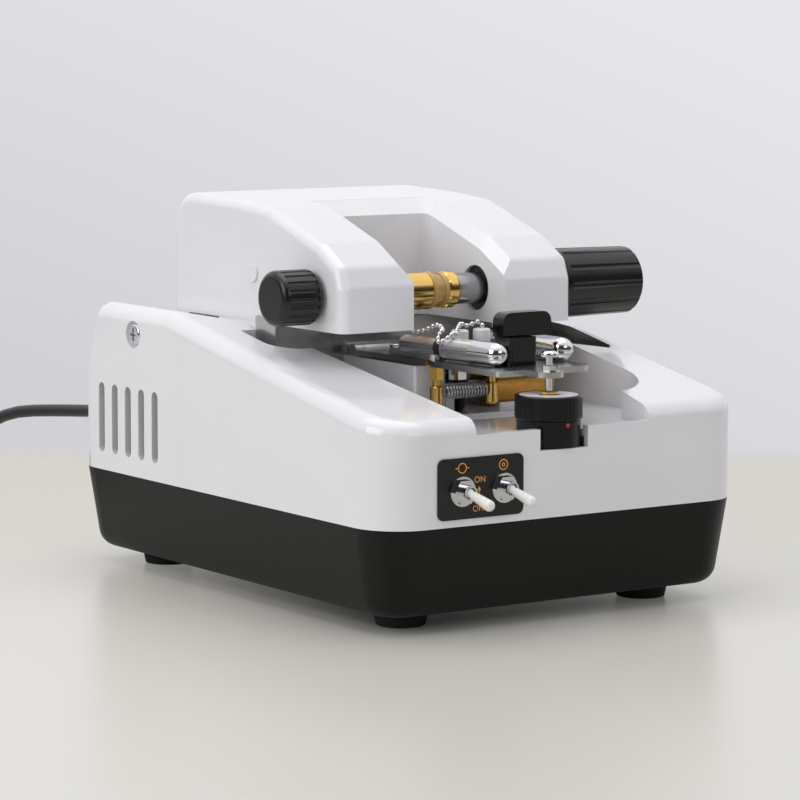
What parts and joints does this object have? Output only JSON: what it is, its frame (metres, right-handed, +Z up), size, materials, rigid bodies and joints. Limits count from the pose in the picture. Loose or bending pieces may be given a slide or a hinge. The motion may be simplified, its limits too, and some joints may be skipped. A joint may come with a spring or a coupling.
{
  "type": "lens groover",
  "caption": "Tabletop machine that cuts a groove round a spectacle lens: lens clamp in a lifting head over a wheel, guide arms, depth dial and switches.",
  "frame": {"origin": "on the standing surface, under the middle of the machine's outer size without its cord", "axes": "+Z up, +Y to the rear, +X to the right as seen from the front"},
  "size_m": [0.2806, 0.5951, 0.1802],
  "materials": {
    "base_black": "fine moulded grain",
    "case_white": "smooth moulded",
    "rubber_black": "matt",
    "steel": "ground",
    "chrome": "polished plating",
    "brass": "turned",
    "black_gloss": "smooth",
    "pad_amber": "translucent amber",
    "nylon_white": "natural",
    "lever_white": "moulded cap",
    "motor_gold": "yellow passivated",
    "scale_white": "printed film",
    "wheel_grit": "diamond coated",
    "board_green": "laminate",
    "core_grey": "laminated"
  },
  "bodies": {
    "case": {"base_tub": "base_black", "feet": "rubber_black", "case_screws": "steel", "top_casing": "case_white", "switch_plate": "black_gloss", "switch_bodies": "chrome", "switch_nuts": "chrome", "dial_base": "black_gloss", "pedestal": "case_white", "plate_hinge": "steel", "splash_guard": "steel", "wheel_motor": "motor_gold", "pivot_screws": "chrome", "transformer": "core_grey", "circuit_board": "board_green", "cord_gland": "rubber_black", "mains_cord": "rubber_black", "cord_coil": "rubber_black", "cord_tail": "rubber_black", "plug": "rubber_black"},
    "head": {"head_shell": "case_white", "head_bracket": "steel", "head_screws": "steel", "screw_cap": "case_white", "head_bushes": "brass", "lens_motor": "steel", "quill_sleeve": "black_gloss", "clamp_nut": "brass"},
    "lens_drive": {"drive_spindle": "steel", "drive_chuck": "brass", "drive_pad": "pad_amber", "turning_knob": "black_gloss", "spindle_gear": "brass"},
    "lens_pinion": {"motor_pinion": "steel"},
    "clamp_slider": {"clamp_quill": "steel"},
    "clamp_head": {"clamp_chuck": "brass", "clamp_pad": "pad_amber"},
    "clamp_handle": {"clamp_knob": "black_gloss", "clamp_screw": "steel"},
    "platform": {"guide_plate": "chrome", "stop_screw": "chrome", "plate_fasteners": "steel", "sponge_holder": "black_gloss", "arm_spring": "steel"},
    "left_arm": {"left_handle": "chrome", "grip_ring": "rubber_black", "left_spring_post": "brass", "ball_chain": "chrome"},
    "right_arm": {"right_handle": "chrome", "right_spring_post": "brass"},
    "left_guide_roller": {"left_roller": "nylon_white"},
    "right_guide_roller": {"right_roller": "nylon_white"},
    "dial": {"depth_dial": "black_gloss", "dial_face": "scale_white"},
    "lift_pin": {"dial_pin": "brass"},
    "left_switch": {"left_toggle": "lever_white"},
    "right_switch": {"right_toggle": "lever_white"},
    "wheel": {"grooving_wheel": "wheel_grit", "wheel_arbor": "steel"}
  },
  "joints": [
    {"name": "head_swing", "type": "hinge", "parent": "case", "child": "head", "pos_m": [-0.00875, 0.08703, 0.1143], "axis": [-1, 0, 0], "range_deg": [0, 50]},
    {"name": "lens_spin", "type": "hinge", "parent": "head", "child": "lens_drive", "pos_m": [-0.00875, -0.02097, 0.1387], "axis": [1, 0, 0], "continuous": true},
    {"name": "pinion_spin", "type": "hinge", "parent": "head", "child": "lens_pinion", "pos_m": [-0.00875, -0.00297, 0.1387], "axis": [1, 0, 0], "continuous": true},
    {"name": "clamp_turn", "type": "hinge", "parent": "clamp_slider", "child": "clamp_handle", "pos_m": [-0.00875, -0.02097, 0.1387], "axis": [1, 0, 0], "range_deg": [0, 1440]},
    {"name": "clamp_slide", "type": "slide", "parent": "head", "child": "clamp_slider", "axis": [1, 0, 0], "range_m": [0, 0.008]},
    {"name": "clamp_chuck_spin", "type": "hinge", "parent": "clamp_slider", "child": "clamp_head", "pos_m": [-0.00875, -0.02097, 0.1387], "axis": [1, 0, 0], "continuous": true},
    {"name": "dial_turn", "type": "hinge", "parent": "case", "child": "dial", "pos_m": [-0.00775, -0.11097, 0.094], "axis": [0, 0, 1], "range_deg": [0, 300]},
    {"name": "platform_tilt", "type": "hinge", "parent": "case", "child": "platform", "pos_m": [-0.00875, 0.01823, 0.1083], "axis": [-1, 0, 0], "range_deg": [0, 1.15]},
    {"name": "dial_pin_lift", "type": "slide", "parent": "case", "child": "lift_pin", "axis": [0, 0, 1], "range_m": [0, 0.0024]},
    {"name": "left_arm_swing", "type": "hinge", "parent": "platform", "child": "left_arm", "pos_m": [-0.02275, -0.01497, 0.1111], "axis": [0, 0, -1], "range_deg": [0, 5], "stiffness_Nm_per_rad": 0.05},
    {"name": "right_arm_swing", "type": "hinge", "parent": "platform", "child": "right_arm", "pos_m": [0.01825, -0.01497, 0.1111], "axis": [0, 0, 1], "range_deg": [0, 5]},
    {"name": "left_roller_spin", "type": "hinge", "parent": "left_arm", "child": "left_guide_roller", "pos_m": [-0.00835, -0.04397, 0.116], "axis": [0, 0, 1], "continuous": true},
    {"name": "right_roller_spin", "type": "hinge", "parent": "right_arm", "child": "right_guide_roller", "pos_m": [0.00385, -0.04397, 0.116], "axis": [0, 0, 1], "continuous": true},
    {"name": "left_switch_flip", "type": "hinge", "parent": "case", "child": "left_switch", "pos_m": [-0.06375, -0.12997, 0.0623], "axis": [-1, 0, 0], "range_deg": [0, 28]},
    {"name": "right_switch_flip", "type": "hinge", "parent": "case", "child": "right_switch", "pos_m": [-0.04175, -0.12997, 0.0623], "axis": [-1, 0, 0], "range_deg": [0, 28]},
    {"name": "wheel_spin", "type": "hinge", "parent": "case", "child": "wheel", "pos_m": [-0.00225, -0.02597, 0.0955], "axis": [1, 0, 0], "continuous": true}
  ],
  "couplings": [
    {"joint": "pinion_spin", "follows": "lens_spin", "ratio": -2},
    {"joint": "clamp_chuck_spin", "follows": "lens_spin", "ratio": 1},
    {"joint": "clamp_slide", "follows": "clamp_turn", "m_per_rad": 0.00031831},
    {"joint": "platform_tilt", "follows": "dial_turn", "ratio": 0.0038333},
    {"joint": "dial_pin_lift", "follows": "dial_turn", "m_per_rad": 0.00045837},
    {"joint": "right_arm_swing", "follows": "left_arm_swing", "ratio": 1}
  ]
}
